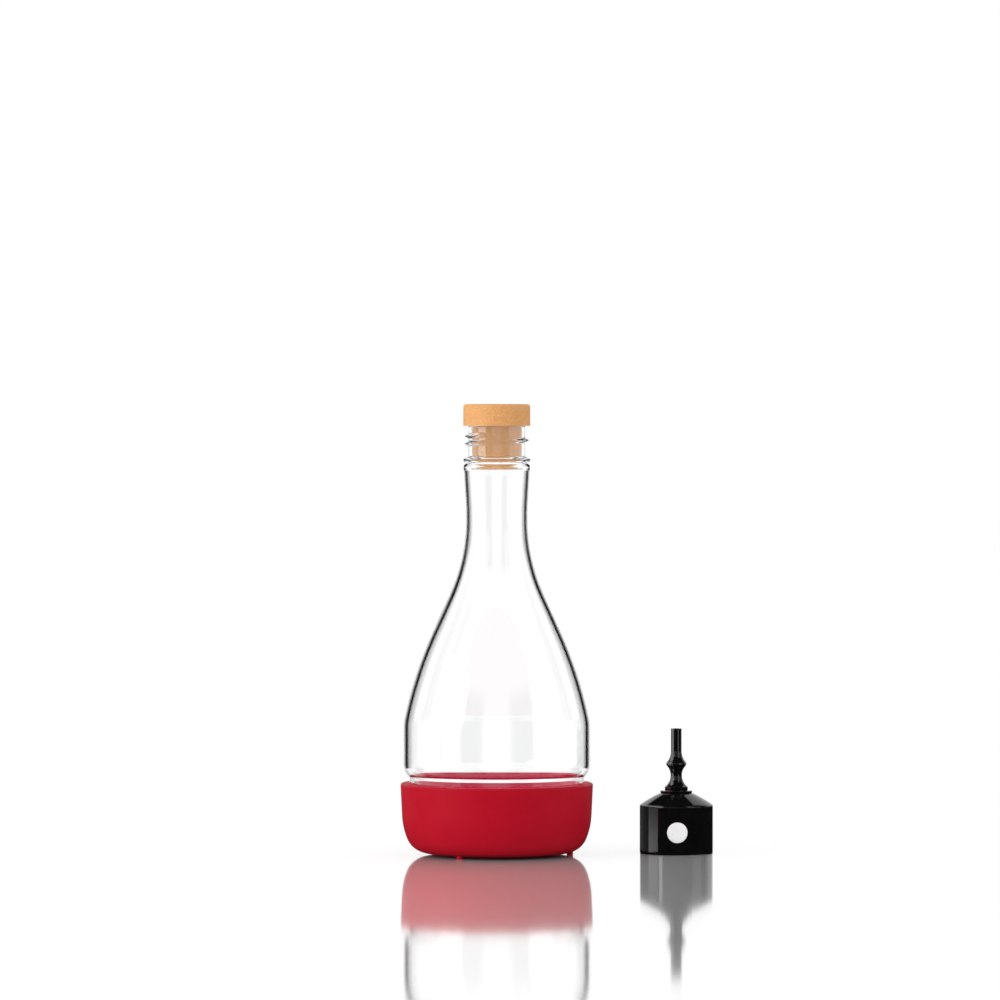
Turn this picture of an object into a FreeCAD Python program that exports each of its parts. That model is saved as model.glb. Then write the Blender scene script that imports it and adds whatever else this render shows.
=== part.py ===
import FreeCAD, Part
import math
import os
from FreeCAD import Vector

# Stoppered glass bottle in a soft boot, with its screw-on pourer cap standing beside it.
# Millimetres, +Z up. The origin is in the middle of the pair's footprint, on the surface that they stand on.

# Bottle: its side is a chain of tangent arcs and straight lines, from the heel up
BODY_D = 80.0
BODY_WALL = 1.85
GLASS_FLOOR = 3.2
PUNT_RISE = 1.6            # the underside is dished in the middle
HEEL_R = 8.0
STEP_DEPTH = 2.5           # the part in the boot is narrower than the body, on radius
STEP_TOP_R = 8.7           # arc from the body's side into the step
STEP_FOOT_R = 6.2          # arc from the step into the part in the boot
STEP_SUNK = 0.6            # the step starts this far under the boot's rim
BODY_STRAIGHT = 15.6       # straight side above the step
HIP_R = 25.3               # tight arc at the top of the straight side
HIP_LEAN_DEG = 12.2        # how far the side has leant in where that arc ends
FLANK_R = 178.8            # long arc above the hip
FLANK_LEAN_DEG = 24.5      # lean of the straight cone that follows it
THROAT_R = 75.4            # hollow arc from the cone into the neck
WAIST_WIDER = 1.025        # the neck at its narrowest is this much wider than the screw finish, on radius
WAIST_STRAIGHT = 2.0
NECK_WALL = 1.55
NECK_FLARE_R = 90.0        # the neck opens slightly above the waist
NECK_FLARE_DEG = 3.3
NECK_H = 20.5              # from where the neck starts to open up to the shoulder's rounding
SHOULDER_R = 2.1           # rounding under the neck bead
GULLET_R = 2.6             # inside rounding where the neck narrows to the bore
GULLET_DEG = 52.0
GULLET_DROP = 1.5          # how far its start lies under the shoulder's

# Mouth: a screw finish with a bead below it. Its thread is left off as surface detail, but sets the sizes
THREAD_D = 27.4            # across the thread's crests
THREAD_DEPTH = 1.525
FINISH_H = 15.4            # from the shoulder up to the rim
FINISH_WALL = 1.075        # at the rim
BORE_TAPER = 0.35          # the bore is this much narrower at the bead, on radius
RIM_R = 0.5
BEAD_PROUD = 0.6           # how far the bead stands out past the thread, on radius
BEAD_H = 2.1
BEAD_EDGE = 0.7            # thickness of the bead's edge
BEAD_SLOPE = 0.4           # the bead's faces slope over this much of its radius
FINISH_D = THREAD_D - 2 * THREAD_DEPTH
MOUTH_D = FINISH_D - 2 * FINISH_WALL
BEAD_D = THREAD_D + 2 * BEAD_PROUD
WAIST_D = FINISH_D + 2 * WAIST_WIDER

# Boot: a cup of soft rubber on three small feet
BOOT_PROUD = 1.1           # how far the rim stands out past the glass, on radius
BOOT_H = 30.6              # rim above the standing surface
BOOT_DRAFT_DEG = 2.7       # the side leans out towards the rim
BOOT_FLOOR = 2.5           # thickness under the bottle
BOOT_SIDE_R = 30.8         # gentle arc where the side starts to turn in
BOOT_CORNER_R = 9.7        # tighter arc that runs into the underside
BOOT_TURN_DEG = 21.7       # tilt of the wall where the two arcs meet
BOOT_LIP_R = 0.8           # rounding of the rim, outside
BOOT_LIP_IN_R = 0.4        # and inside
BOOT_FIT = 0.05            # between the glass and the boot's bore, on radius
BOOT_RIM_D = BODY_D + 2 * BOOT_PROUD
FOOT_H = 0.9
FOOT_D = 2.8
FOOT_INSET = 9.9           # from the boot's rim in to a foot's middle
FOOT_ROOT = 1.2            # how deep a foot is rooted in the floor
FOOT_COUNT = 3

# Stopper: a flat head on a plug that tapers with the bore
HEAD_D = BEAD_D            # flush with the bead
HEAD_H = 9.3
HEAD_EDGE_R = 1.3
PLUG_LEN = 17.1
PLUG_FIT = 0.04            # between the plug and the bore, on radius
PLUG_CHAMFER = 2.65        # the plug's end is narrowed this much, on radius
PLUG_CHAMFER_H = 3.6
NIB_D = 0.9
NIB_H = 0.7

# Pourer cap: a screw cap that carries a turned spout
CAP_ASIDE = 77.0           # its axis from the bottle's, along X
CAP_Y = 10.0
CAP_PLAY = 0.2             # between the skirt and the thread's crests, on radius
CAP_WALL = 1.75
CAP_SKIRT_H = 20.2
CAP_ROOF = 1.8
CAP_H = 25.6               # flat top that the spout's flange sits on
CAP_HOLE_D = 7.0
CAP_EDGE_R = 0.9           # rounding between the skirt and the conical top
CAP_EDGE_DEG = 57.0
CAP_BULGE = 0.2            # how far the conical top swells
CAP_FOOT_R = 0.35
CAP_D = THREAD_D + 2 * (CAP_PLAY + CAP_WALL)
SPIGOT_FIT = 0.05          # between the spout's spigot and the cap's hole, on radius

# Spout: a baluster turned in one piece with its flange; its heights are above the cap's flat top
FLANGE_D = 13.45
FLANGE_H = 1.15
SEAT_EDGE = 0.375          # flat ring of the cap that shows round the flange
SPOUT_FOOT_D = 9.8
COVE_WAIST_D = 4.87        # hollow between the foot and the knob
COVE_R = 6.1
COVE_Z = 7.7
KNOB_D = 8.7
KNOB_Z = 12.55
KNOB_EDGE = 0.22           # rise of the knob's rounded edge
TUBE_D = 4.55
TUBE_COVE_R = 7.1          # hollow from the knob into the tube
TUBE_COVE_Z = 18.1
TUBE_TOP_Z = 27.8
SPOUT_BORE_D = 2.6
SPIGOT_LEN = 1.8


def cosine(deg):
    return math.cos(math.radians(deg))


def sine(deg):
    return math.sin(math.radians(deg))


def at(r, z):
    """A point of a profile: distance from the axis, and height."""
    return Vector(r, 0, z)


def line(a, b):
    return Part.LineSegment(a, b).toShape()


def arc(centre, radius, start_deg, end_deg):
    """An arc of a profile; angles run from outward towards up."""
    def on(deg):
        return at(centre.x + radius * cosine(deg), centre.z + radius * sine(deg))
    return Part.Arc(on(start_deg), on((start_deg + end_deg) / 2), on(end_deg)).toShape()


def bowed(a, b, rise):
    """A shallow arc from a to b that swells to the right of the way from a to b."""
    way = (b - a).normalize()
    middle = (a + b) / 2 + at(way.z, -way.x) * rise
    return Part.Arc(a, middle, b).toShape()


def ends(edge):
    return edge.valueAt(edge.FirstParameter), edge.valueAt(edge.LastParameter)


def chain(*steps):
    """Joins edges head to tail, with a straight line wherever two don't meet. A bare point is a corner."""
    edges = []
    last = None
    for step in steps:
        first, final = (step, step) if isinstance(step, Vector) else ends(step)
        if last is not None and last.distanceToPoint(first) > 1e-6:
            edges.append(line(last, first))
        if not isinstance(step, Vector):
            edges.append(step)
        last = final
    return edges


def turned(edges, x=0.0, y=0.0, z=0.0):
    """A closed profile, given as edges in order, turned about the Z axis and then moved."""
    wire = Part.Wire(Part.__sortEdges__(edges))
    shape = Part.Face(wire).revolve(Vector(0, 0, 0), Vector(0, 0, 1), 360)
    solid = shape if shape.ShapeType == "Solid" else Part.Solid(Part.Shell(shape.Faces))
    solid.translate(Vector(x, y, z))
    return solid


# The pair's footprint runs from the boot's far side to the cap's far side
BOTTLE_X = -(CAP_ASIDE + CAP_D / 2 - BOOT_RIM_D / 2) / 2
CAP_X = BOTTLE_X + CAP_ASIDE

# Heights and radii of the bottle that follow from its sizes
GLASS_Z = FOOT_H + BOOT_FLOOR
CORE_R = BODY_D / 2 - STEP_DEPTH
STEP_Z = BOOT_H - STEP_SUNK
STEP_TURN_DEG = math.degrees(math.acos(1 - STEP_DEPTH / (STEP_TOP_R + STEP_FOOT_R)))
HIP_Z = STEP_Z + (STEP_TOP_R + STEP_FOOT_R) * sine(STEP_TURN_DEG) + BODY_STRAIGHT


class Side:
    """One face of the bottle's side, from the foot of the step up to the top of the neck. The outside has no
    walls. For the inside every arc lies a wall further in, and the length of the cone takes up the rest."""

    def __init__(self, body_wall, neck_wall):
        self.body_wall = body_wall
        self.neck_wall = neck_wall
        self.body_r = BODY_D / 2 - body_wall
        self.waist_r = WAIST_D / 2 - neck_wall

    def step(self):
        foot_r = STEP_FOOT_R + self.body_wall
        top_r = STEP_TOP_R - self.body_wall
        foot = at(self.body_r - STEP_DEPTH + foot_r, STEP_Z)
        top = at(self.body_r - top_r, HIP_Z - BODY_STRAIGHT)
        return [arc(foot, foot_r, 180, 180 - STEP_TURN_DEG), arc(top, top_r, -STEP_TURN_DEG, 0)]

    def hip(self):
        hip_r = HIP_R - self.body_wall
        return at(self.body_r - hip_r, HIP_Z), hip_r

    def flank(self):
        """Tangent to the hip where the hip ends."""
        hip, hip_r = self.hip()
        flank_r = FLANK_R - self.body_wall
        apart = flank_r - hip_r
        return at(hip.x - apart * cosine(HIP_LEAN_DEG), hip.z - apart * sine(HIP_LEAN_DEG)), flank_r

    def throat(self):
        """Tangent to the waist, and to the cone that rises from the flank."""
        flank, flank_r = self.flank()
        throat_r = THROAT_R + self.neck_wall
        cone_foot = at(flank.x + flank_r * cosine(FLANK_LEAN_DEG), flank.z + flank_r * sine(FLANK_LEAN_DEG))
        cone_top_r = self.waist_r + throat_r * (1 - cosine(FLANK_LEAN_DEG))
        cone_h = (cone_foot.x - cone_top_r) / math.tan(math.radians(FLANK_LEAN_DEG))
        return at(self.waist_r + throat_r, cone_foot.z + cone_h + throat_r * sine(FLANK_LEAN_DEG)), throat_r

    def flare(self):
        """Starts at one height for both faces, above the waist of the outside."""
        flare_r = NECK_FLARE_R - self.neck_wall
        throat, _ = Side(0, 0).throat()
        return at(self.waist_r + flare_r, throat.z + WAIST_STRAIGHT), flare_r

    def neck(self, z):
        """The point at height z where the neck leans outward evenly."""
        flare, flare_r = self.flare()
        flared_r = self.waist_r + flare_r * (1 - cosine(NECK_FLARE_DEG))
        above = z - flare.z - flare_r * sine(NECK_FLARE_DEG)
        return at(flared_r + above * math.tan(math.radians(NECK_FLARE_DEG)), z)

    def edges(self, neck_end_z):
        return [*self.step(),
                arc(*self.hip(), 0, HIP_LEAN_DEG),
                arc(*self.flank(), HIP_LEAN_DEG, FLANK_LEAN_DEG),
                arc(*self.throat(), 180 + FLANK_LEAN_DEG, 180),
                arc(*self.flare(), 180, 180 - NECK_FLARE_DEG),
                self.neck(neck_end_z)]


OUTSIDE = Side(0, 0)
INSIDE = Side(BODY_WALL, NECK_WALL)
NECK_TOP_Z = OUTSIDE.flare()[0].z + NECK_H
SHOULDER_Z = NECK_TOP_Z + SHOULDER_R * (1 + sine(NECK_FLARE_DEG))
RIM_Z = SHOULDER_Z + FINISH_H
BORE_Z = SHOULDER_Z + BEAD_H / 2


def bore_radius(z):
    """The mouth's bore widens evenly from BORE_Z to the rim."""
    return MOUTH_D / 2 - BORE_TAPER * (RIM_Z - z) / (RIM_Z - BORE_Z)


def rounded_in(point, radius, end_deg):
    """An arc that goes on from the leaning neck at this point and turns inward."""
    centre = point - at(cosine(NECK_FLARE_DEG), -sine(NECK_FLARE_DEG)) * radius
    return arc(centre, radius, -NECK_FLARE_DEG, end_deg)


def mouth():
    """The outside from the neck's rounded shoulder over the bead to the rim."""
    bead_r = BEAD_D / 2
    finish_r = FINISH_D / 2
    return [rounded_in(OUTSIDE.neck(NECK_TOP_Z), SHOULDER_R, 90),
            at(bead_r - BEAD_SLOPE, SHOULDER_Z),
            at(bead_r, BORE_Z - BEAD_EDGE / 2),
            at(bead_r, BORE_Z + BEAD_EDGE / 2),
            at(finish_r + BEAD_SLOPE, SHOULDER_Z + BEAD_H),
            at(finish_r, SHOULDER_Z + BEAD_H + BEAD_SLOPE),
            arc(at(finish_r - RIM_R, RIM_Z - RIM_R), RIM_R, 0, 90),
            at(bore_radius(RIM_Z), RIM_Z)]


def bottle():
    foot_r = CORE_R - HEEL_R
    punt_r = (foot_r ** 2 + PUNT_RISE ** 2) / (2 * PUNT_RISE)
    punt_deg = math.degrees(math.asin(foot_r / punt_r))
    outside = chain(
        arc(at(0, GLASS_Z + PUNT_RISE - punt_r), punt_r, 90, 90 - punt_deg),
        arc(at(foot_r, GLASS_Z + HEEL_R), HEEL_R, -90, 0),
        *OUTSIDE.edges(NECK_TOP_Z),
        *mouth(),
    )
    floor_z = GLASS_Z + GLASS_FLOOR
    inner_heel_r = HEEL_R - BODY_WALL
    gullet_z = NECK_TOP_Z - GULLET_DROP
    inside = chain(
        at(0, floor_z),
        arc(at(foot_r, floor_z + inner_heel_r), inner_heel_r, -90, 0),
        *INSIDE.edges(gullet_z),
        rounded_in(INSIDE.neck(gullet_z), GULLET_R, GULLET_DEG),
        at(bore_radius(BORE_Z), BORE_Z),
        at(bore_radius(RIM_Z), RIM_Z),
    )
    axis = line(at(0, GLASS_Z + PUNT_RISE), at(0, floor_z))
    return turned(outside + inside + [axis], BOTTLE_X)


def stopper():
    head_r = HEAD_D / 2
    nib_r = NIB_D / 2
    end_z = RIM_Z - PLUG_LEN
    chamfer_z = end_z + PLUG_CHAMFER_H
    profile = chain(
        at(0, end_z - NIB_H),
        at(nib_r, end_z - NIB_H),
        at(nib_r, end_z),
        at(bore_radius(end_z) - PLUG_CHAMFER, end_z),
        at(bore_radius(chamfer_z) - PLUG_FIT, chamfer_z),
        at(bore_radius(RIM_Z) - PLUG_FIT, RIM_Z),
        at(head_r, RIM_Z),
        arc(at(head_r - HEAD_EDGE_R, RIM_Z + HEAD_H - HEAD_EDGE_R), HEAD_EDGE_R, 0, 90),
        at(0, RIM_Z + HEAD_H),
        at(0, end_z - NIB_H),
    )
    return turned(profile, BOTTLE_X)


def boot_side():
    """The boot's outside from the underside up to the drafted side, worked back from the rim's diameter."""
    drop_to_side = BOOT_SIDE_R * (sine(BOOT_TURN_DEG) - sine(BOOT_DRAFT_DEG))
    side_z = FOOT_H + BOOT_CORNER_R * (1 - sine(BOOT_TURN_DEG)) + drop_to_side
    side_r = BOOT_RIM_D / 2 - (BOOT_H - BOOT_LIP_R - side_z) * math.tan(math.radians(BOOT_DRAFT_DEG))
    side = at(side_r - BOOT_SIDE_R * cosine(BOOT_DRAFT_DEG), side_z + BOOT_SIDE_R * sine(BOOT_DRAFT_DEG))
    corner = at(side.x + (BOOT_SIDE_R - BOOT_CORNER_R) * cosine(BOOT_TURN_DEG), FOOT_H + BOOT_CORNER_R)
    return [arc(corner, BOOT_CORNER_R, -90, -BOOT_TURN_DEG),
            arc(side, BOOT_SIDE_R, -BOOT_TURN_DEG, -BOOT_DRAFT_DEG)]


def foot(number):
    turn_deg = 360 * number / FOOT_COUNT
    pitch_r = BOOT_RIM_D / 2 - FOOT_INSET
    centre = Vector(BOTTLE_X + pitch_r * cosine(turn_deg), pitch_r * sine(turn_deg), 0)
    return Part.makeCylinder(FOOT_D / 2, FOOT_H + FOOT_ROOT, centre)


def boot():
    bore_r = CORE_R + BOOT_FIT
    heel_r = HEEL_R + BOOT_FIT
    profile = chain(
        at(0, FOOT_H),
        *boot_side(),
        arc(at(BOOT_RIM_D / 2 - BOOT_LIP_R, BOOT_H - BOOT_LIP_R), BOOT_LIP_R, 0, 90),
        arc(at(bore_r + BOOT_LIP_IN_R, BOOT_H - BOOT_LIP_IN_R), BOOT_LIP_IN_R, 90, 180),
        arc(at(bore_r - heel_r, GLASS_Z + heel_r), heel_r, 0, -90),
        at(0, GLASS_Z),
        at(0, FOOT_H),
    )
    cup = turned(profile, BOTTLE_X)
    return cup.fuse([foot(number) for number in range(FOOT_COUNT)]).removeSplitter()


def cap():
    skirt_r = CAP_D / 2
    inner_r = skirt_r - CAP_WALL
    seat_r = FLANGE_D / 2 + SEAT_EDGE
    hole_r = CAP_HOLE_D / 2
    edge = arc(at(skirt_r - CAP_EDGE_R, CAP_SKIRT_H), CAP_EDGE_R, 0, CAP_EDGE_DEG)
    profile = chain(
        at(inner_r, 0),
        arc(at(skirt_r - CAP_FOOT_R, CAP_FOOT_R), CAP_FOOT_R, -90, 0),
        edge,
        bowed(ends(edge)[1], at(seat_r, CAP_H), CAP_BULGE),
        at(hole_r, CAP_H),
        at(hole_r, CAP_H - CAP_ROOF),
        at(seat_r, CAP_H - CAP_ROOF),
        at(inner_r, CAP_SKIRT_H - CAP_ROOF),
        at(inner_r, 0),
    )
    return turned(profile, CAP_X, CAP_Y)


def hollow(waist_r, radius, z, low_r, high_r):
    """A hollow arc about height z, from the radius low_r below its waist to high_r above it."""
    centre = at(waist_r + radius, z)

    def lean(r):
        return math.degrees(math.acos((centre.x - r) / radius))
    return arc(centre, radius, 180 + lean(low_r), 180 - lean(high_r))


def spout():
    bore_r = SPOUT_BORE_D / 2
    spigot_r = CAP_HOLE_D / 2 - SPIGOT_FIT
    flange_r = FLANGE_D / 2
    foot_r = SPOUT_FOOT_D / 2
    knob_r = KNOB_D / 2
    tube_r = TUBE_D / 2
    cove = hollow(COVE_WAIST_D / 2, COVE_R, COVE_Z, foot_r, knob_r - KNOB_EDGE)
    tube_cove = hollow(tube_r, TUBE_COVE_R, TUBE_COVE_Z, knob_r - KNOB_EDGE, tube_r)
    knob = Part.Arc(ends(cove)[1], at(knob_r, KNOB_Z), ends(tube_cove)[0]).toShape()
    profile = chain(
        at(bore_r, -SPIGOT_LEN),
        at(spigot_r, -SPIGOT_LEN),
        at(spigot_r, 0),
        at(flange_r, 0),
        at(flange_r, FLANGE_H),
        at(foot_r, FLANGE_H),
        cove,
        knob,
        tube_cove,
        at(tube_r, TUBE_TOP_Z),
        at(bore_r, TUBE_TOP_Z),
        at(bore_r, -SPIGOT_LEN),
    )
    return turned(profile, CAP_X, CAP_Y, CAP_H)


def main():
    os.makedirs("parts", exist_ok=True)
    for name, make in (("bottle", bottle), ("stopper", stopper), ("boot", boot),
                       ("pourer_cap", cap), ("pourer_spout", spout)):
        shape = make()
        print(f"{name}: valid {shape.isValid()}, volume {shape.Volume / 1000:.2f} cm3")
        shape.exportStep(f"parts/{name}.step")


main()
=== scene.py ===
import math

import bmesh
import bpy
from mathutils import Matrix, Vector


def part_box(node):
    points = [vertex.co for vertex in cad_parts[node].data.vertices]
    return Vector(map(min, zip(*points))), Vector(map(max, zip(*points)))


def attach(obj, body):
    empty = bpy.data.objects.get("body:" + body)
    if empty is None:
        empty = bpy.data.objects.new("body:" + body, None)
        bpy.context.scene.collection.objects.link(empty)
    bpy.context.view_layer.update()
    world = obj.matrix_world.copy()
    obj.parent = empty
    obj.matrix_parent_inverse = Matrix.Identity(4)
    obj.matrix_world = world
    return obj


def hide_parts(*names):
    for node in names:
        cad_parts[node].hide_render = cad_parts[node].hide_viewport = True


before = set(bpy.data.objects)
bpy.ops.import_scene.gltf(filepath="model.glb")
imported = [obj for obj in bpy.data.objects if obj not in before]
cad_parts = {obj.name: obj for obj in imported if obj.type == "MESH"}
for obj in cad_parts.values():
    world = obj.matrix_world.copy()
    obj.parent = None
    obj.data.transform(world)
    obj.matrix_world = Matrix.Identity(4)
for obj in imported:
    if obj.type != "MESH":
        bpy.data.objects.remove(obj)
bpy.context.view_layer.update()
mm = 0.001
print("packed parts loaded")


def cosDeg(deg):
    return math.cos(math.radians(deg))


def sinDeg(deg):
    return math.sin(math.radians(deg))


def tanDeg(deg):
    return math.tan(math.radians(deg))


def arcPoints(centre, radius, startDeg, endDeg, stepDeg=2.0):
    steps = max(2, math.ceil(abs(endDeg - startDeg) / stepDeg))
    turns = [startDeg + (endDeg - startDeg) * i / steps for i in range(steps + 1)]
    return [(centre[0] + radius * cosDeg(t), centre[1] + radius * sinDeg(t)) for t in turns]


def runPoints(start, end, step):  # a straight run cut into short rows
    steps = max(1, math.ceil(math.dist(start, end) / step))
    return [(start[0] + (end[0] - start[0]) * i / steps,
             start[1] + (end[1] - start[1]) * i / steps) for i in range(steps + 1)]


def held(outline, reach=0.25, shortest=2.6):
    # rows near both ends of each long straight run keep its shading flat
    rows = [outline[0]]
    for start, end in zip(outline, outline[1:]):
        length = math.dist(start, end)
        if length > shortest:
            for share in (reach / length, 1 - reach / length):
                rows.append((start[0] + (end[0] - start[0]) * share,
                             start[1] + (end[1] - start[1]) * share))
        rows.append(end)
    return rows


def lathe(name, outline, axis, around=192, swell=None, sharpDeg=38):
    # outline: (radius, height) in mm, in order from axis to axis, or closed on itself
    bm = bmesh.new()
    rings = []
    for r, z in held(outline):
        if r < 1e-6:
            rings.append([bm.verts.new((0, 0, z * mm))])
            continue
        ring = []
        for k in range(around):
            turn = 360 * k / around
            out = (r + (swell(turn, r, z) if swell else 0)) * mm
            ring.append(bm.verts.new((out * cosDeg(turn), out * sinDeg(turn), z * mm)))
        rings.append(ring)
    for low, high in zip(rings, rings[1:]):
        for k in range(around):
            after = (k + 1) % around
            if len(low) == 1:
                bm.faces.new((low[0], high[k], high[after]))
            elif len(high) == 1:
                bm.faces.new((low[k], high[0], low[after]))
            else:
                bm.faces.new((low[k], high[k], high[after], low[after]))
    bmesh.ops.remove_doubles(bm, verts=bm.verts, dist=1e-7)
    bmesh.ops.recalc_face_normals(bm, faces=bm.faces)
    mesh = bpy.data.meshes.new(name)
    bm.to_mesh(mesh)
    bm.free()
    mesh.shade_smooth()
    mesh.set_sharp_from_angle(angle=math.radians(sharpDeg))
    piece = bpy.data.objects.new(name, mesh)
    piece.location = (axis.x, axis.y, 0)
    bpy.context.scene.collection.objects.link(piece)
    return piece


boxes = {node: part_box(node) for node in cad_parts}


def axisOf(node):
    low, high = boxes[node]
    return (low + high) / 2


def heightsOf(node):  # lowest and highest point, in mm
    low, high = boxes[node]
    return low.z / mm, high.z / mm


def place(piece, material, slotName, *nodes):
    piece.data.materials.append(material)
    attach(piece, "root")
    if nodes:
        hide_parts(*nodes)
    return piece


def newMaterial(name, **values):
    material = bpy.data.materials.new(name)
    material.use_nodes = True
    shader = material.node_tree.nodes["Principled BSDF"]
    for socket, value in values.items():
        shader.inputs[socket.replace("_", " ")].default_value = value
    return material, shader


def addNode(tree, kind, **settings):
    node = tree.nodes.new(kind)
    for key, value in settings.items():
        setattr(node, key, value)
    return node


def mathNode(tree, operation, first, second=None):
    node = addNode(tree, "ShaderNodeMath", operation=operation)
    for socket, value in zip(node.inputs, (first, second)):
        if value is None:
            continue
        if isinstance(value, (int, float)):
            socket.default_value = value
        else:
            tree.links.new(value, socket)
    return node.outputs[0]


def times(tree, first, second):
    return mathNode(tree, "MULTIPLY", first, second)


def plus(tree, first, second):
    return mathNode(tree, "ADD", first, second)


def minus(tree, first, second):
    return mathNode(tree, "SUBTRACT", first, second)


def larger(tree, first, second):
    return mathNode(tree, "MAXIMUM", first, second)


def ramp(tree, value, low, high, outLow=0.0, outHigh=1.0):
    node = addNode(tree, "ShaderNodeMapRange", interpolation_type="SMOOTHSTEP")
    limits = {"From Min": low, "From Max": high, "To Min": outLow, "To Max": outHigh}
    for socket, number in limits.items():
        node.inputs[socket].default_value = number
    tree.links.new(value, node.inputs["Value"])
    return node.outputs["Result"]


# fine grain: two sizes of noise that mottle the colour, the roughness and the height
grainMix = {"grain": 0.7, "mottle": 0.3, "grainDetail": 3.0, "mottleDetail": 2.0, "low": 0.35, "high": 0.65}


def makeFineGrain():
    group = bpy.data.node_groups.new("fineGrain", "ShaderNodeTree")
    face = group.interface
    number, tint = "NodeSocketFloat", "NodeSocketColor"
    for name, kind, value in (("Grain Size", number, 900.0), ("Mottle Size", number, 60.0),
                              ("Dark", tint, (0, 0, 0, 1)), ("Light", tint, (1, 1, 1, 1)),
                              ("Smooth", number, 0.3), ("Rough", number, 0.5)):
        face.new_socket(name=name, in_out="INPUT", socket_type=kind).default_value = value
    for name, kind in (("Color", tint), ("Roughness", number), ("Height", number)):
        face.new_socket(name=name, in_out="OUTPUT", socket_type=kind)
    given = addNode(group, "NodeGroupInput")
    made = addNode(group, "NodeGroupOutput")
    where = addNode(group, "ShaderNodeTexCoord")
    grain = addNode(group, "ShaderNodeTexNoise")
    mottle = addNode(group, "ShaderNodeTexNoise")
    for noise, size, detail in ((grain, "Grain Size", "grainDetail"),
                                (mottle, "Mottle Size", "mottleDetail")):
        group.links.new(where.outputs["Object"], noise.inputs["Vector"])
        group.links.new(given.outputs[size], noise.inputs["Scale"])
        noise.inputs["Detail"].default_value = grainMix[detail]
    both = plus(group, times(group, grain.outputs["Fac"], grainMix["grain"]),
                times(group, mottle.outputs["Fac"], grainMix["mottle"]))
    share = ramp(group, both, grainMix["low"], grainMix["high"])
    colour = addNode(group, "ShaderNodeMix", data_type="RGBA")
    group.links.new(share, colour.inputs["Factor"])
    group.links.new(given.outputs["Dark"], colour.inputs["A"])
    group.links.new(given.outputs["Light"], colour.inputs["B"])
    group.links.new(colour.outputs["Result"], made.inputs["Color"])
    spread = minus(group, given.outputs["Rough"], given.outputs["Smooth"])
    rough = plus(group, given.outputs["Smooth"], times(group, spread, share))
    group.links.new(rough, made.inputs["Roughness"])
    group.links.new(grain.outputs["Fac"], made.inputs["Height"])
    return group


fineGrain = makeFineGrain()


def grained(material, shader, look):
    tree = material.node_tree
    grain = addNode(tree, "ShaderNodeGroup", node_tree=fineGrain)
    for socket in ("Grain Size", "Mottle Size", "Dark", "Light", "Smooth", "Rough"):
        grain.inputs[socket].default_value = look[socket]
    tree.links.new(grain.outputs["Color"], shader.inputs["Base Color"])
    tree.links.new(grain.outputs["Roughness"], shader.inputs["Roughness"])
    bump = addNode(tree, "ShaderNodeBump")
    bump.inputs["Strength"].default_value = look["bump"]
    bump.inputs["Distance"].default_value = look["relief"]
    tree.links.new(grain.outputs["Height"], bump.inputs["Height"])
    tree.links.new(bump.outputs["Normal"], shader.inputs["Normal"])


print("node groups made")

# glass bottle, sizes in mm
glassSize = {
    "bodyR": 40.0, "bodyWall": 1.85, "floor": 3.2, "puntRise": 1.6, "heelR": 8.0,
    "stepDepth": 2.5, "stepTopR": 7.0, "stepFootR": 1.4, "stepFootZ": 29.3, "hipZ": 50.48,
    "hipR": 25.3, "hipLean": 12.2, "flankR": 178.8, "flankLean": 24.5, "throatR": 75.4,
    "waistR": 13.2, "waistStraight": 2.0, "neckWall": 1.55, "flareR": 90.0, "flareLean": 3.3, "neckH": 20.5,
    "shoulderR": 2.1, "gulletR": 2.6, "gulletTurn": 52.0, "gulletDrop": 1.5,
    "finishR": 12.175, "finishH": 15.4, "mouthR": 11.1, "boreTaper": 0.35, "rimR": 0.5,
    "beadR": 14.3, "beadH": 2.1, "beadEdge": 0.7, "beadSlope": 0.4,
}
glassFacet = {"punt": 0.5, "heel": 3.0, "step": 1.5, "hip": 1.2, "flank": 0.6, "throat": 1.0, "flare": 0.8,
              "neckEnd": 3.0, "rim": 10}  # degrees from row to row of each arc
threadSize = {"pitch": 3.16, "height": 1.5, "halfWidth": 1.15, "start": 30.0, "end": 640.0, "fade": 45.0,
              "laps": 3, "blunt": 0.8, "middleDrop": 7.65, "middleTurn": 180.0, "rowStep": 0.14}
hair = 0.01  # mm, thinner than any real step
glassLook = {"tint": (0.995, 1.0, 0.998, 1), "ior": 1.5, "waveScale": 45.0, "bump": 0.04, "relief": 0.0003}


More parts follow.
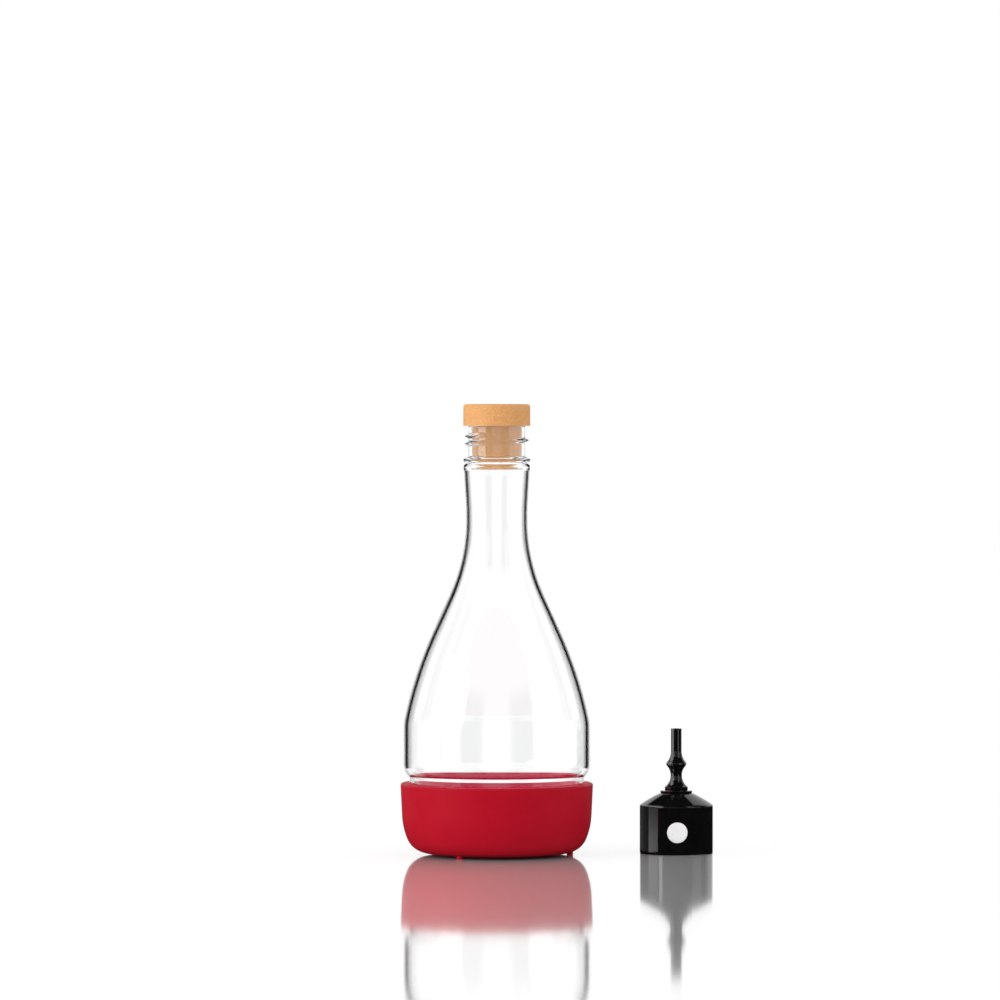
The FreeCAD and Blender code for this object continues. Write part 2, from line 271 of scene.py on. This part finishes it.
def glassSide(size, bodyWall, neckWall, neckEndZ, outerFlareZ=None):
    bottom = heightsOf("bottle")[0]
    bodyR = size["bodyR"] - bodyWall
    waistR = size["waistR"] - neckWall
    stepTurn = math.degrees(math.acos(1 - size["stepDepth"] / (size["stepTopR"] + size["stepFootR"])))
    stepZ = bottom + size["stepFootZ"]
    straightZ = stepZ + (size["stepTopR"] + size["stepFootR"]) * sinDeg(stepTurn)
    footR = size["stepFootR"] + bodyWall
    topR = size["stepTopR"] - bodyWall
    hipR = size["hipR"] - bodyWall
    hip = (bodyR - hipR, bottom + size["hipZ"])
    flankR = size["flankR"] - bodyWall
    hipLean, lean = size["hipLean"], size["flankLean"]
    flank = (hip[0] - (flankR - hipR) * cosDeg(hipLean), hip[1] - (flankR - hipR) * sinDeg(hipLean))
    coneFoot = (flank[0] + flankR * cosDeg(lean), flank[1] + flankR * sinDeg(lean))
    throatR = size["throatR"] + neckWall
    coneH = (coneFoot[0] - waistR - throatR * (1 - cosDeg(lean))) / tanDeg(lean)
    throat = (waistR + throatR, coneFoot[1] + coneH + throatR * sinDeg(lean))
    flareZ = throat[1] + size["waistStraight"] if outerFlareZ is None else outerFlareZ
    flareR = size["flareR"] - neckWall
    flareLean = size["flareLean"]
    leanStart = (waistR + flareR * (1 - cosDeg(flareLean)), flareZ + flareR * sinDeg(flareLean))
    neckTopZ = flareZ + neckEndZ
    neckTop = (leanStart[0] + (neckTopZ - leanStart[1]) * tanDeg(flareLean), neckTopZ)
    facet = glassFacet
    rows = arcPoints((bodyR - size["stepDepth"] + footR, stepZ), footR, 180, 180 - stepTurn, facet["step"])
    rows += arcPoints((bodyR - topR, straightZ), topR, -stepTurn, 0, facet["step"])[1:]
    rows += arcPoints(hip, hipR, 0, hipLean, facet["hip"])
    rows += arcPoints(flank, flankR, hipLean, lean, facet["flank"])[1:]
    rows += arcPoints(throat, throatR, 180 + lean, 180, facet["throat"])
    rows += arcPoints((waistR + flareR, flareZ), flareR, 180, 180 - flareLean, facet["flare"])
    rows.append(neckTop)
    return rows, flareZ


def turnedIn(size, corner, radius, endDeg):  # rounding that carries on from the leaning neck
    lean = size["flareLean"]
    centre = (corner[0] - radius * cosDeg(lean), corner[1] + radius * sinDeg(lean))
    return arcPoints(centre, radius, -lean, endDeg, glassFacet["neckEnd"])[1:]


def glassOutline(size):
    bottom, rim = heightsOf("bottle")
    coreR = size["bodyR"] - size["stepDepth"]
    footR = coreR - size["heelR"]
    puntR = (footR ** 2 + size["puntRise"] ** 2) / (2 * size["puntRise"])
    puntTurn = math.degrees(math.asin(footR / puntR))
    shoulderZ = rim - size["finishH"]
    boreZ = shoulderZ + size["beadH"] / 2
    outside, flareZ = glassSide(size, 0, 0, size["neckH"])
    outline = arcPoints((0, bottom + size["puntRise"] - puntR), puntR, 90, 90 - puntTurn, glassFacet["punt"])
    outline += arcPoints((footR, bottom + size["heelR"]), size["heelR"], -90, 0, glassFacet["heel"])
    outline += outside
    outline += turnedIn(size, outside[-1], size["shoulderR"], 90)
    outline += [(size["beadR"] - size["beadSlope"], shoulderZ),
                (size["beadR"], boreZ - size["beadEdge"] / 2),
                (size["beadR"], boreZ + size["beadEdge"] / 2),
                (size["finishR"] + size["beadSlope"], shoulderZ + size["beadH"])]
    outline += runPoints((size["finishR"], shoulderZ + size["beadH"] + size["beadSlope"]),
                         (size["finishR"], rim - size["rimR"]), threadSize["rowStep"])
    rimCentre = (size["finishR"] - size["rimR"], rim - size["rimR"])
    outline += arcPoints(rimCentre, size["rimR"], 0, 90, glassFacet["rim"])[1:]
    innerHeel = size["heelR"] - size["bodyWall"]
    floorZ = bottom + size["floor"]
    inside = [(0, floorZ)]
    inside += arcPoints((footR, floorZ + innerHeel), innerHeel, -90, 0, glassFacet["heel"])
    gulletH = size["neckH"] - size["gulletDrop"]
    innerSide, _ = glassSide(size, size["bodyWall"], size["neckWall"], gulletH, flareZ)
    inside += innerSide
    inside += turnedIn(size, innerSide[-1], size["gulletR"], size["gulletTurn"])
    inside += [(size["mouthR"] - size["boreTaper"], boreZ), (size["mouthR"], rim)]
    return outline + inside[::-1]


def ridgeAt(size, middle, turn, z):  # a right-hand ridge that winds up and fades out at both ends
    height = 0
    for lap in range(size["laps"]):
        along = turn + 360 * lap
        crest = middle + size["pitch"] * (along - size["middleTurn"]) / 360
        away = abs(z - crest) / size["halfWidth"]
        if away >= 1 or not size["start"] < along < size["end"]:
            continue
        fade = min(1, (along - size["start"]) / size["fade"], (size["end"] - along) / size["fade"])
        crown = (0.5 + 0.5 * cosDeg(away * 180)) ** size["blunt"]
        height = max(height, size["height"] * sinDeg(fade * 90) * crown)
    return height


def glassThread(turn, r, z):
    if r < glassSize["finishR"] - hair:
        return 0
    return ridgeAt(threadSize, heightsOf("bottle")[1] - threadSize["middleDrop"], turn, z)


def makeGlass(look):
    material, shader = newMaterial("clearGlass", Base_Color=look["tint"], Transmission_Weight=1.0,
                                   IOR=look["ior"], Roughness=0.0)
    tree = material.node_tree
    where = addNode(tree, "ShaderNodeTexCoord")
    wave = addNode(tree, "ShaderNodeTexNoise")
    wave.inputs["Scale"].default_value = look["waveScale"]
    tree.links.new(where.outputs["Object"], wave.inputs["Vector"])
    bump = addNode(tree, "ShaderNodeBump")
    bump.inputs["Strength"].default_value = look["bump"]
    bump.inputs["Distance"].default_value = look["relief"]
    tree.links.new(wave.outputs["Fac"], bump.inputs["Height"])
    tree.links.new(bump.outputs["Normal"], shader.inputs["Normal"])
    return material


glassBottle = lathe("glassBottle", glassOutline(glassSize), axisOf("bottle"), swell=glassThread)
place(glassBottle, makeGlass(glassLook), "clear_glass", "bottle")
print("glass bottle made")

# stopper, sizes in mm
stopperSize = {"headR": 14.3, "headH": 9.3, "headEdge": 1.3, "edgeFacet": 6, "plugLen": 17.1, "plugEndR": 8.1,
               "chamferH": 3.6, "fit": 0.04, "nibR": 0.45}
stopperLook = {"Grain Size": 3400.0, "Mottle Size": 1300.0, "Dark": (0.62, 0.27, 0.075, 1),
               "Light": (0.82, 0.43, 0.17, 1), "Smooth": 0.35, "Rough": 0.65, "bump": 0.5, "relief": 0.0003,
               "specular": 0.4}


def stopperOutline(size):
    low, high = heightsOf("stopper")
    rim = high - size["headH"]
    end = rim - size["plugLen"]
    boreZ = rim - glassSize["finishH"] + glassSize["beadH"] / 2

    def plugR(z):
        return glassSize["mouthR"] - glassSize["boreTaper"] * (rim - z) / (rim - boreZ) - size["fit"]

    outline = [(0, low), (size["nibR"], low), (size["nibR"], end), (size["plugEndR"], end),
               (plugR(end + size["chamferH"]), end + size["chamferH"]), (plugR(rim), rim),
               (size["headR"], rim)]
    edgeR = size["headEdge"]
    outline += arcPoints((size["headR"] - edgeR, high - edgeR), edgeR, 0, 90, size["edgeFacet"])
    outline.append((0, high))
    return outline


def makeTanWood():
    material, shader = newMaterial("tanGrain", Specular_IOR_Level=stopperLook["specular"])
    grained(material, shader, stopperLook)
    return material


stopperPlug = lathe("stopperPlug", stopperOutline(stopperSize), axisOf("stopper"))
place(stopperPlug, makeTanWood(), "stopper_tan", "stopper")
print("stopper made")

# soft boot, sizes in mm
bootSize = {"rimR": 41.1, "draft": 2.7, "sideR": 30.8, "cornerR": 9.7, "turn": 21.7, "lipR": 0.8,
            "lipInR": 0.4, "fit": 0.05, "floor": 2.5, "footH": 0.9, "footR": 1.4, "footEdge": 0.25,
            "footSunk": 1.2, "footPitchR": 31.2, "feet": 3, "footAround": 32}
bootFacet = {"corner": 3, "side": 1.5, "lip": 10, "lipIn": 15, "heel": 5, "foot": 15}
# the boot's glow is painted light: a red emission on its inner wall, above the seat, stands in for light
# through the glass
bootLook = {"Grain Size": 2500.0, "Mottle Size": 120.0, "Dark": (0.41, 0.0012, 0.012, 1),
            "Light": (0.45, 0.002, 0.016, 1), "Smooth": 0.42, "Rough": 0.55, "bump": 0.12, "relief": 0.0002,
            "specular": 0.1, "glow": (0.30, 0.004, 0.035, 1), "paintedGlowR": 0.0385, "paintedGlowEdge": 0.0004,
            "paintedGlowZ": 0.018, "paintedGlowRise": 0.002}  # the painted glow's places in metres


def bootOutline(size):
    rim = heightsOf("boot")[1]
    under = size["footH"]
    drop = size["sideR"] * (sinDeg(size["turn"]) - sinDeg(size["draft"]))
    sideZ = under + size["cornerR"] * (1 - sinDeg(size["turn"])) + drop
    sideAtZ = size["rimR"] - (rim - size["lipR"] - sideZ) * tanDeg(size["draft"])
    side = (sideAtZ - size["sideR"] * cosDeg(size["draft"]), sideZ + size["sideR"] * sinDeg(size["draft"]))
    cornerX = side[0] + (size["sideR"] - size["cornerR"]) * cosDeg(size["turn"])
    boreR = glassSize["bodyR"] - glassSize["stepDepth"] + size["fit"]
    heel = glassSize["heelR"] + size["fit"]
    seat = under + size["floor"]
    outline = [(0, under)]
    lipR, lipInR = size["lipR"], size["lipInR"]
    facet = bootFacet
    corner = (cornerX, under + size["cornerR"])
    outline += arcPoints(corner, size["cornerR"], -90, -size["turn"], facet["corner"])
    outline += arcPoints(side, size["sideR"], -size["turn"], -size["draft"], facet["side"])[1:]
    outline += arcPoints((size["rimR"] - lipR, rim - lipR), lipR, 0, 90, facet["lip"])
    outline += arcPoints((boreR + lipInR, rim - lipInR), lipInR, 90, 180, facet["lipIn"])
    outline += arcPoints((boreR - heel, seat + heel), heel, 0, -90, facet["heel"])
    outline.append((0, seat))
    return outline


def bootFoot(size, number, axis):
    turn = 360 * number / size["feet"]
    centre = axis + Vector((cosDeg(turn), sinDeg(turn), 0)) * size["footPitchR"] * mm
    edge = size["footEdge"]
    top = size["footH"] + size["footSunk"]
    outline = [(0, 0)]
    outline += arcPoints((size["footR"] - edge, edge), edge, -90, 0, bootFacet["foot"])
    outline += [(size["footR"], top), (0, top)]
    return lathe("bootFoot" + str(number + 1), outline, centre, around=size["footAround"])


def makeRedRubber():
    look = bootLook
    material, shader = newMaterial("redRubber", Specular_IOR_Level=look["specular"])
    grained(material, shader, look)
    # painted glow: an emission on the rubber's inner wall stands in for the light that comes through the
    # glass
    tree = material.node_tree
    where = addNode(tree, "ShaderNodeTexCoord")
    flat = addNode(tree, "ShaderNodeVectorMath", operation="MULTIPLY")
    tree.links.new(where.outputs["Object"], flat.inputs[0])
    flat.inputs[1].default_value = (1, 1, 0)
    reach = addNode(tree, "ShaderNodeVectorMath", operation="LENGTH")
    tree.links.new(flat.outputs["Vector"], reach.inputs[0])
    inner = ramp(tree, reach.outputs["Value"], look["paintedGlowR"] - look["paintedGlowEdge"], look["paintedGlowR"], 1.0, 0.0)
    split = addNode(tree, "ShaderNodeSeparateXYZ")
    tree.links.new(where.outputs["Object"], split.inputs[0])
    above = ramp(tree, split.outputs["Z"], look["paintedGlowZ"], look["paintedGlowZ"] + look["paintedGlowRise"])
    tree.links.new(times(tree, inner, above), shader.inputs["Emission Strength"])
    shader.inputs["Emission Color"].default_value = look["glow"]
    return material


redRubber = makeRedRubber()
place(lathe("softBoot", bootOutline(bootSize), axisOf("boot")), redRubber, "boot_red", "boot")
for number in range(bootSize["feet"]):
    place(bootFoot(bootSize, number, axisOf("boot")), redRubber, "boot_red")
print("boot made")

# pourer cap and spout, sizes in mm
capSize = {"outR": 15.65, "skirtH": 20.2, "wall": 1.75, "roof": 1.8, "seatZ": 25.6, "seatR": 7.1,
           "holeR": 3.5, "edgeR": 0.9, "edgeTurn": 57.0, "edgeFacet": 5, "bulge": 0.2, "footR": 0.35,
           "footFacet": 15}
capThread = {"pitch": 3.16, "height": 1.3, "halfWidth": 1.0, "start": 40.0, "end": 620.0, "fade": 30.0,
             "laps": 3, "blunt": 0.8, "middleTurn": 180.0, "middleZ": 6.4, "rowStep": 0.25}
spoutSize = {"flangeR": 6.725, "flangeH": 1.15, "footR": 4.9, "waistR": 2.435, "coveR": 6.1, "coveZ": 7.7,
             "knobR": 4.35, "knobEdge": 0.22, "knobRows": 8, "tubeR": 2.275, "tubeCoveR": 7.1,
             "tubeCoveZ": 18.1, "coveFacet": 4, "boreR": 1.3, "spigotR": 3.45, "spigotLen": 1.8, "around": 96}
blackLook = {"Grain Size": 1800.0, "Mottle Size": 200.0, "Dark": (0.0025, 0.0025, 0.003, 1),
             "Light": (0.004, 0.004, 0.0045, 1), "Smooth": 0.06, "Rough": 0.11, "bump": 0.03,
             "relief": 0.0001}


def bowPoints(start, end, rise, steps=12):  # a shallow swelling arc from start to end
    length = math.dist(start, end)
    across = ((end[1] - start[1]) / length, -(end[0] - start[0]) / length)
    points = []
    for i in range(1, steps + 1):
        t = i / steps
        lift = rise * 4 * t * (1 - t)
        points.append((start[0] + (end[0] - start[0]) * t + across[0] * lift,
                       start[1] + (end[1] - start[1]) * t + across[1] * lift))
    return points


def capOutline(size):
    innerR = size["outR"] - size["wall"]
    edgeCentre = (size["outR"] - size["edgeR"], size["skirtH"])
    edge = arcPoints(edgeCentre, size["edgeR"], 0, size["edgeTurn"], size["edgeFacet"])
    footR = size["footR"]
    outline = [(innerR, 0)]
    outline += arcPoints((size["outR"] - footR, footR), footR, -90, 0, size["footFacet"])
    outline += edge + bowPoints(edge[-1], (size["seatR"], size["seatZ"]), size["bulge"])
    outline += [(size["holeR"], size["seatZ"]), (size["holeR"], size["seatZ"] - size["roof"]),
                (size["seatR"], size["seatZ"] - size["roof"])]
    return outline + runPoints((innerR, size["skirtH"] - size["roof"]), (innerR, 0), capThread["rowStep"])


def innerThread(turn, r, z):  # stands in from the cap's wall, wound as the bottle's thread
    if abs(r - capSize["outR"] + capSize["wall"]) > hair:
        return 0
    return -ridgeAt(capThread, capThread["middleZ"], turn, z)


def hollowPoints(waistR, radius, z, lowR, highR, facet):  # as wide as lowR below and highR above
    def lean(r):
        return math.degrees(math.acos(min(1, (waistR + radius - r) / radius)))

    return arcPoints((waistR + radius, z), radius, 180 + lean(lowR), 180 - lean(highR), facet)


def spoutOutline(size):
    seat = capSize["seatZ"]
    top = heightsOf("pourer_spout")[1]
    knobR, facet, rows = size["knobR"] - size["knobEdge"], size["coveFacet"], size["knobRows"]
    coveZ, tubeCoveZ, tubeR = seat + size["coveZ"], seat + size["tubeCoveZ"], size["tubeR"]
    cove = hollowPoints(size["waistR"], size["coveR"], coveZ, size["footR"], knobR, facet)
    tubeCove = hollowPoints(tubeR, size["tubeCoveR"], tubeCoveZ, knobR, tubeR, facet)
    below, above = cove[-1], tubeCove[0]
    knob = [(below[0] + size["knobEdge"] * sinDeg(180 * i / rows),
             below[1] + (above[1] - below[1]) * i / rows) for i in range(1, rows)]
    end = seat - size["spigotLen"]
    outline = [(size["boreR"], end), (size["spigotR"], end), (size["spigotR"], seat),
               (size["flangeR"], seat), (size["flangeR"], seat + size["flangeH"]),
               (size["footR"], seat + size["flangeH"])]
    outline += cove + knob + tubeCove
    outline += [(size["tubeR"], top), (size["boreR"], top), (size["boreR"], end)]
    return outline


def makeBlackPlastic():
    material, shader = newMaterial("blackGloss")
    grained(material, shader, blackLook)
    return material


blackPlastic = makeBlackPlastic()
pourerCap = lathe("pourerCap", capOutline(capSize), axisOf("pourer_cap"), swell=innerThread)
place(pourerCap, blackPlastic, "cap_black", "pourer_cap")
spoutAxis = axisOf("pourer_spout")
pourerSpout = lathe("pourerSpout", spoutOutline(spoutSize), spoutAxis, around=spoutSize["around"])
place(pourerSpout, blackPlastic, "spout_black", "pourer_spout")
print("cap and spout made")

# bare round badge on the cap
badgeSize = {"radius": 4.4, "z": 9.65, "thick": 0.12, "edge": 0.12, "edgeDrop": 0.6, "sunk": 0.05,
             "middle": 0.5, "around": 64}
badgeLook = {"Grain Size": 1200.0, "Mottle Size": 150.0, "Dark": (0.9, 0.9, 0.9, 1),
             "Light": (0.96, 0.96, 0.96, 1), "Smooth": 0.3, "Rough": 0.4, "bump": 0.03, "relief": 0.0001}


def makeBadge(size):
    axis = axisOf("pourer_cap")
    radius, thick, around = size["radius"], size["thick"], size["around"]
    shells = [(0, thick), (radius * size["middle"], thick), (radius - size["edge"], thick),
              (radius, thick - size["edge"] * size["edgeDrop"]), (radius, -size["sunk"])]
    bm = bmesh.new()
    rings = []
    for reach, lift in shells:
        ring = []
        for k in range(around if reach else 1):
            across, up = reach * sinDeg(360 * k / around), reach * cosDeg(360 * k / around)
            turn = across / capSize["outR"]
            out = capSize["outR"] + lift
            spot = ((out * math.sin(turn)) * mm, -out * math.cos(turn) * mm, (size["z"] + up) * mm)
            ring.append(bm.verts.new(spot))
        rings.append(ring)
    for k in range(around):
        after = (k + 1) % around
        bm.faces.new((rings[0][0], rings[1][k], rings[1][after]))
        for low, high in zip(rings[1:], rings[2:]):
            bm.faces.new((low[k], high[k], high[after], low[after]))
    bmesh.ops.recalc_face_normals(bm, faces=bm.faces)
    mesh = bpy.data.meshes.new("capBadge")
    bm.to_mesh(mesh)
    bm.free()
    mesh.shade_smooth()
    badge = bpy.data.objects.new("capBadge", mesh)
    badge.location = (axis.x, axis.y, 0)
    bpy.context.scene.collection.objects.link(badge)
    return badge


def makeWhiteFilm():
    material, shader = newMaterial("whiteFilm")
    grained(material, shader, badgeLook)
    return material


badge = place(makeBadge(badgeSize), makeWhiteFilm(), "badge_white")
badge.visible_glossy = False  # mirrors don't show the badge
print("badge made")

# floor, in metres
floorLook = {"half": 6.0, "tint": (0.95, 0.95, 0.95, 1), "rough": 0.06, "coat": 0.85}


def makeFloor(look):
    half = look["half"]
    corners = [(-half, -half, 0), (half, -half, 0), (half, half, 0), (-half, half, 0)]
    mesh = bpy.data.meshes.new("studioFloor")
    mesh.from_pydata(corners, [], [(0, 1, 2, 3)])
    floor = bpy.data.objects.new("studioFloor", mesh)
    bpy.context.scene.collection.objects.link(floor)
    material, _ = newMaterial("paleFloor", Base_Color=look["tint"], Roughness=look["rough"],
                              Coat_Weight=look["coat"], Coat_Roughness=look["rough"])
    mesh.materials.append(material)
    floor.visible_glossy = False  # the black cap mirrors a dark room, not the lit floor
    floor.visible_transmission = False  # the glass shows the flags instead


# light from all round; turns in degrees, heights as the rise of a ray
flagLook = {"wide": (12.0, 24.0, 44.0, 52.0), "wideLap": 180.0,
            "side": (14.0, 20.0, 27.0, 31.0), "sideTurn": 90.0, "sideDark": 0.25,
            "low": (12.0, 16.0, 21.0, 22.5), "lowLap": 45.0, "dark": 0.99,
            "foot": -0.12, "footSoft": 0.08, "top": 0.42, "topSoft": 0.1, "lowFoot": -0.65, "lowSoft": -0.6,
            "through": 1.05, "inside": 1.8}
beltLook = {"foot": -0.005, "footSoft": 0.01, "top": 0.5, "topSoft": 0.6, "backTurn": 60.0, "backSoft": 80.0,
            "left": 0.55, "right": 0.03, "room": 0.01}
wholeTurns = 540.0  # keeps every turn above zero


def flagsIn(tree, turn, lap, limits):  # dark bands on both sides of the start of each lap
    share = mathNode(tree, "FRACT", mathNode(tree, "DIVIDE", plus(tree, turn, wholeTurns), lap))
    off = times(tree, mathNode(tree, "ABSOLUTE", minus(tree, share, 0.5)), lap)
    start, dark, darkEnd, end = (lap / 2 - limit for limit in limits)
    return times(tree, ramp(tree, off, dark, start, 1.0, 0.0), ramp(tree, off, end, darkEnd))


def flagLight(tree, rise, turn, look):  # the light that the sharp glass bends or mirrors
    foot, top, wideLap = look["foot"], look["top"], look["wideLap"]
    level = times(tree, ramp(tree, rise, foot - look["footSoft"], foot),
                  ramp(tree, rise, top, top + look["topSoft"], 1.0, 0.0))
    # dark flags draw the glass's edges: wide behind and in front, faint at the sides, narrow lower down
    sides = flagsIn(tree, plus(tree, turn, look["sideTurn"]), wideLap, look["side"])
    wide = larger(tree, flagsIn(tree, turn, wideLap, look["wide"]), times(tree, sides, look["sideDark"]))
    wide = times(tree, wide, level)
    lower = times(tree, ramp(tree, rise, look["lowFoot"], look["lowSoft"]),
                  ramp(tree, rise, foot - look["footSoft"], foot, 1.0, 0.0))
    flags = larger(tree, wide, times(tree, flagsIn(tree, turn, look["lowLap"], look["low"]), lower))
    return times(tree, minus(tree, 1.0, times(tree, flags, look["dark"])), look["through"])


def beltLight(tree, split, turn, look):  # what rough gloss mirrors: a belt in a dark room, white behind
    rise = split.outputs["Z"]
    belt = times(tree, ramp(tree, rise, look["foot"], look["footSoft"]),
                 ramp(tree, rise, look["top"], look["topSoft"], 1.0, 0.0))
    back = ramp(tree, mathNode(tree, "ABSOLUTE", turn), look["backTurn"], look["backSoft"], 1.0, 0.0)
    aside = larger(tree, back, ramp(tree, split.outputs["X"], -1.0, 1.0, look["left"], look["right"]))
    return plus(tree, times(tree, times(tree, belt, aside), 1 - look["room"]), look["room"])


def makeWorld():
    world = bpy.data.worlds.new("softStudio")
    bpy.context.scene.world = world
    world.use_nodes = True
    tree = world.node_tree
    sky = tree.nodes["Background"]
    where = addNode(tree, "ShaderNodeTexCoord")
    split = addNode(tree, "ShaderNodeSeparateXYZ")
    tree.links.new(where.outputs["Generated"], split.inputs[0])
    turn = mathNode(tree, "DEGREES", mathNode(tree, "ARCTAN2", split.outputs["X"], split.outputs["Y"]))
    through = flagLight(tree, split.outputs["Z"], turn, flagLook)
    mirrored = beltLight(tree, split, turn, beltLook)
    path = addNode(tree, "ShaderNodeLightPath")
    # rays bent or mirrored by the sharp glass see the flags, and other glossy rays the belt
    sharp = larger(tree, path.outputs["Is Transmission Ray"], path.outputs["Is Singular Ray"])
    sharp = times(tree, sharp, mathNode(tree, "GREATER_THAN", path.outputs["Ray Depth"], 0.5))
    glossy = times(tree, path.outputs["Is Glossy Ray"], minus(tree, 1.0, sharp))
    plain = minus(tree, minus(tree, 1.0, glossy), sharp)
    # light that reaches a matt surface through the glass comes from all round
    lit = mathNode(tree, "MINIMUM", path.outputs["Diffuse Depth"], 1.0)
    behind = addNode(tree, "ShaderNodeMix", data_type="FLOAT")
    tree.links.new(lit, behind.inputs["Factor"])
    tree.links.new(through, behind.inputs["A"])
    behind.inputs["B"].default_value = flagLook["inside"]
    bent = times(tree, sharp, behind.outputs["Result"])
    strength = plus(tree, times(tree, glossy, mirrored), plus(tree, bent, plain))
    tree.links.new(strength, sky.inputs["Strength"])
    sky.inputs["Color"].default_value = (1, 1, 1, 1)


def unseenPanel(name, corners, foot, head, seenBy):  # only bent or mirrored rays see it, from its face
    mesh = bpy.data.meshes.new(name)
    mesh.from_pydata([[c * mm for c in corner] for corner in corners], [],
                     [(i, i + 1, i + 3, i + 2) for i in range(0, len(corners) - 2, 2)])
    panel = bpy.data.objects.new(name, mesh)
    bpy.context.scene.collection.objects.link(panel)
    material, shader = newMaterial(name, Base_Color=(0, 0, 0, 1), Specular_IOR_Level=0.0)
    tree = material.node_tree
    where = addNode(tree, "ShaderNodeTexCoord")
    split = addNode(tree, "ShaderNodeSeparateXYZ")
    tree.links.new(where.outputs["Generated"], split.inputs[0])
    glow = ramp(tree, split.outputs["Z"], 0.0, 1.0, foot, head)
    tree.links.new(glow, shader.inputs["Emission Strength"])
    shader.inputs["Emission Color"].default_value = (1, 1, 1, 1)
    face = addNode(tree, "ShaderNodeNewGeometry")
    tree.links.new(minus(tree, 1.0, face.outputs["Backfacing"]), shader.inputs["Alpha"])
    mesh.materials.append(material)
    panel.visible_camera = panel.visible_diffuse = panel.visible_shadow = False
    panel.visible_glossy = seenBy == "mirrors"
    panel.visible_transmission = seenBy == "glass"


# cards round the cap, in mm from its axis: start, end, low and high, glow at the foot and at the head
cards = {"capLeftCard": ((-26, -22.4), (-26, -7.5), 0, 22, 1.9, 0.6),
         "capBackCard": ((-26, -7.5), (-26, 25), 0, 24, 0.16, 0.12),
         "spoutLeftCard": ((-26, -16), (-26, 8), 27, 70, 3.0, 3.4),
         "spoutRightCard": ((14, 28), (26, 14), 27, 70, 1.0, 1.0),
         "spoutFrontCard": ((28, -24), (20, -34), 27, 70, 1.6, 1.6)}


def makeCard(name, centre, start, end, low, high, foot, head):  # upright, faces the centre
    start, end = (centre.x + start[0], centre.y + start[1]), (centre.x + end[0], centre.y + end[1])
    run = (end[0] - start[0], end[1] - start[1])
    outward = run[1] * (centre.x - start[0]) - run[0] * (centre.y - start[1])
    if outward > 0:
        start, end = end, start
    corners = [(*start, low), (*start, high), (*end, low), (*end, high)]
    unseenPanel(name, corners, foot, head, "mirrors")


# white bands round the glass, in mm, seen through it only: radius, low, high, glow
rimZ = heightsOf("bottle")[1]
rings = {"finishRing": (22, rimZ - 17.3, 215, 1.25), "footRing": (60, -20, 31, 1.0)}
ringSides = 48


def makeRing(name, centre, radius, low, high, glow):
    corners = []
    for k in range(ringSides + 1):
        turn = 360 * k / ringSides
        x, y = centre.x - radius * sinDeg(turn), centre.y + radius * cosDeg(turn)
        corners += [(x, y, low), (x, y, high)]
    unseenPanel(name, corners, glow, glow, "glass")


# soft lamps, in metres from the bottle's axis: place, size, power
lamps = {"keyLamp": ((-1.32, -0.7, 0.5), (1.0, 0.9), 11.0),
         "fillLamp": ((1.39, -0.56, 0.5), (0.9, 0.9), 2.0)}
lampAimZ = 0.08


def makeLamp(name, spot, size, power, aim):
    lamp = bpy.data.lights.new(name, "AREA")
    lamp.shape = "RECTANGLE"
    lamp.size, lamp.size_y = size
    lamp.energy = power
    holder = bpy.data.objects.new(name, lamp)
    bpy.context.scene.collection.objects.link(holder)
    holder.location = spot
    holder.rotation_euler = (Vector(aim) - Vector(spot)).to_track_quat("-Z", "Y").to_euler()
    holder.visible_camera = False


cameraView = {"lens": 212.4, "distance": 2.519, "height": 0.1835, "pitch": 0.728, "aside": 0.00137}


def makeCamera(view):
    camera = bpy.data.cameras.new("studioCamera")
    holder = bpy.data.objects.new("studioCamera", camera)
    bpy.context.scene.collection.objects.link(holder)
    camera.lens = view["lens"]
    axis = axisOf("bottle")
    holder.location = (axis.x + view["aside"], axis.y - view["distance"], view["height"])
    holder.rotation_euler = (math.radians(90 - view["pitch"]), 0, 0)
    bpy.context.scene.camera = holder


makeFloor(floorLook)
makeWorld()
capAxis = axisOf("pourer_cap") / mm
for name, card in cards.items():
    makeCard(name, capAxis, *card)
glassAxis = axisOf("bottle") / mm
for name, ring in rings.items():
    makeRing(name, glassAxis, *ring)
middleX = axisOf("bottle").x
for name, (spot, size, power) in lamps.items():
    makeLamp(name, (middleX + spot[0], spot[1], spot[2]), size, power, (middleX, 0, lampAimZ))
makeCamera(cameraView)
bpy.context.scene.view_settings.view_transform = "Standard"
print("studio made")
